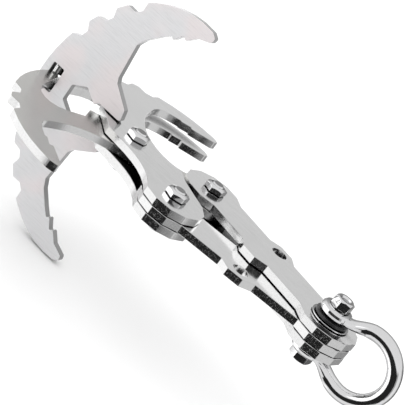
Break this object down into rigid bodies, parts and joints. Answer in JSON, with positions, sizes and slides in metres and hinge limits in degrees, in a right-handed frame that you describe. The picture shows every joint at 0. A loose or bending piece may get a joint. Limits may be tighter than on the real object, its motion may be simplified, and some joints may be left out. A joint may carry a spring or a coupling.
{
  "type": "grapnel anchor",
  "caption": "Folding grapnel anchor: plate jaws crossing on a bolt, a cross claw at a right angle, two links and a bow shackle.",
  "frame": {"origin": "centre of the bounding box, on the shank's axis at mid height of the plate stack", "axes": "+X along the shank towards the shackle, +Y towards the tip of the right jaw, +Z along the bolts towards their nuts"},
  "size_m": [0.1808, 0.1176, 0.1106],
  "materials": {
    "brushed_plate": "brushed",
    "dark_brushed_plate": "brushed",
    "satin_plate": "satin",
    "polished_steel": "polished",
    "black_washer": "matte"
  },
  "bodies": {
    "pivot": {"cross_claw": "satin_plate", "main_pivot_bolt": "polished_steel", "main_pivot_nut": "polished_steel"},
    "right_jaw": {"right_jaw_top_plate": "brushed_plate", "right_jaw_bottom_plate": "brushed_plate", "right_jaw_tail_bolt": "polished_steel", "right_jaw_tail_nut": "polished_steel"},
    "left_jaw": {"left_jaw_plate": "dark_brushed_plate"},
    "left_link": {"left_link_plate": "brushed_plate"},
    "right_link": {"right_link_top_plate": "brushed_plate", "right_link_bottom_plate": "brushed_plate", "left_jaw_tail_bolt": "polished_steel", "left_jaw_tail_nut": "polished_steel"},
    "shackle": {"shackle_bow": "polished_steel", "shackle_pin": "polished_steel", "shackle_nut": "polished_steel", "shackle_steel_washer_upper": "polished_steel", "shackle_steel_washer_lower": "polished_steel", "shackle_black_washer": "black_washer"}
  },
  "joints": [
    {"name": "right_jaw_swing", "type": "hinge", "parent": "pivot", "child": "right_jaw", "pos_m": [-0.04179, 0, 0], "axis": [0, 0, -1], "range_deg": [0, 30]},
    {"name": "left_jaw_swing", "type": "hinge", "parent": "pivot", "child": "left_jaw", "pos_m": [-0.04179, 0, 0], "axis": [0, 0, 1], "range_deg": [0, 30]},
    {"name": "left_link_fold", "type": "hinge", "parent": "right_jaw", "child": "left_link", "pos_m": [-0.01071, -0.01522, 0], "axis": [0, 0, 1], "range_deg": [0, 42.5]},
    {"name": "right_link_fold", "type": "hinge", "parent": "left_jaw", "child": "right_link", "pos_m": [-0.01071, 0.01522, 0], "axis": [0, 0, -1], "range_deg": [0, 42.5]},
    {"name": "shackle_swing", "type": "hinge", "parent": "left_link", "child": "shackle", "pos_m": [0.05659, 0, 0], "axis": [0, 0, 1], "range_deg": [-100, 100]}
  ],
  "couplings": [
    {"joint": "left_jaw_swing", "follows": "right_jaw_swing", "ratio": 1},
    {"joint": "left_link_fold", "follows": "right_jaw_swing", "ratio": 1.41},
    {"joint": "right_link_fold", "follows": "right_jaw_swing", "ratio": 1.41}
  ]
}
